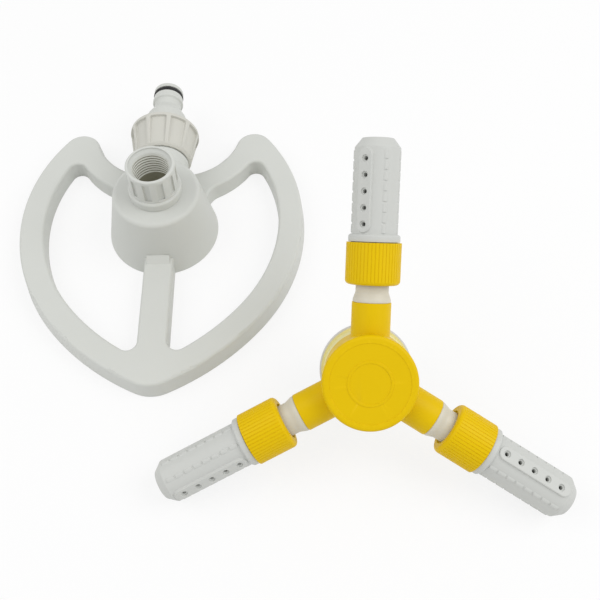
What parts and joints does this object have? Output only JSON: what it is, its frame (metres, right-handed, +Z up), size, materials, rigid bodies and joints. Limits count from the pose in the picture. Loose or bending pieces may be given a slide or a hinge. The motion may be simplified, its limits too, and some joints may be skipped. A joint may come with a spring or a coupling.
{
  "type": "rotary lawn sprinkler",
  "caption": "Rotary lawn sprinkler: heart-shaped open foot with threaded riser and hose connector, and its spinning arm head with adjustable spray nozzles laid beside it.",
  "frame": {"origin": "on the ground under the riser's axis", "axes": "+Z up along the riser, +Y from the riser to the hose connector"},
  "size_m": [0.2711, 0.2489, 0.1083],
  "materials": {
    "base_white": "fine satin moulding, warm light grey",
    "connector_cream": "satin moulding, cream",
    "hub_yellow": "smooth semi-gloss moulding, golden yellow",
    "nozzle_grey": "satin moulding, light grey",
    "neck_white": "satin moulding, cool white",
    "seal_black": "matt rubber",
    "screw_steel": "bright zinc plated"
  },
  "bodies": {
    "base": {"base_frame": "base_white", "riser": "base_white", "riser_seal": "seal_black", "connector_nipple": "base_white", "connector_washer": "seal_black", "nipple_o_ring": "seal_black"},
    "connector_nut": {"connector_nut": "connector_cream"},
    "rotor": {"rotor_hub": "hub_yellow", "hub_cap": "hub_yellow", "cap_seal": "seal_black", "lower_housing": "neck_white", "housing_screws": "screw_steel", "spindle_bush": "neck_white", "arm_neck_1": "neck_white", "arm_neck_2": "neck_white", "arm_neck_3": "neck_white", "union_washer_1": "seal_black", "union_washer_2": "seal_black", "union_washer_3": "seal_black"},
    "spindle": {"spindle": "base_white", "retaining_ring": "screw_steel", "thrust_washer": "neck_white", "spindle_o_ring": "seal_black"},
    "nozzle_1": {"nozzle_1": "nozzle_grey"},
    "union_nut_1": {"union_nut_1": "hub_yellow"},
    "nozzle_2": {"nozzle_2": "nozzle_grey"},
    "union_nut_2": {"union_nut_2": "hub_yellow"},
    "nozzle_3": {"nozzle_3": "nozzle_grey"},
    "union_nut_3": {"union_nut_3": "hub_yellow"}
  },
  "joints": [
    {"name": "connector_nut_turn", "type": "hinge", "parent": "base", "child": "connector_nut", "pos_m": [0, 0.0294, 0.0219], "axis": [0, 1, 0], "range_deg": [0, 100]},
    {"name": "rotor_lift", "type": "slide", "parent": "base", "child": "rotor", "axis": [0, 0, 1], "range_m": [0, 0.12]},
    {"name": "spindle_spin", "type": "hinge", "parent": "rotor", "child": "spindle", "pos_m": [0.1028, -0.1119, 0.04049], "axis": [-0.0354, -0.5952, 0.8028], "continuous": true},
    {"name": "nozzle_turn_1", "type": "hinge", "parent": "rotor", "child": "nozzle_1", "pos_m": [0.1028, -0.1119, 0.04049], "axis": [0.0476, 0.8014, 0.5963], "continuous": true},
    {"name": "union_nut_turn_1", "type": "hinge", "parent": "rotor", "child": "union_nut_1", "pos_m": [0.1028, -0.1119, 0.04049], "axis": [0.0476, 0.8014, 0.5963], "range_deg": [0, 120]},
    {"name": "nozzle_turn_2", "type": "hinge", "parent": "rotor", "child": "nozzle_2", "pos_m": [0.1028, -0.1119, 0.04049], "axis": [-0.8883, -0.3493, -0.2981], "continuous": true},
    {"name": "union_nut_turn_2", "type": "hinge", "parent": "rotor", "child": "union_nut_2", "pos_m": [0.1028, -0.1119, 0.04049], "axis": [-0.8883, -0.3493, -0.2981], "range_deg": [0, 120]},
    {"name": "nozzle_turn_3", "type": "hinge", "parent": "rotor", "child": "nozzle_3", "pos_m": [0.1028, -0.1119, 0.04049], "axis": [0.8407, -0.452, -0.2981], "continuous": true},
    {"name": "union_nut_turn_3", "type": "hinge", "parent": "rotor", "child": "union_nut_3", "pos_m": [0.1028, -0.1119, 0.04049], "axis": [0.8407, -0.452, -0.2981], "range_deg": [0, 120]}
  ]
}
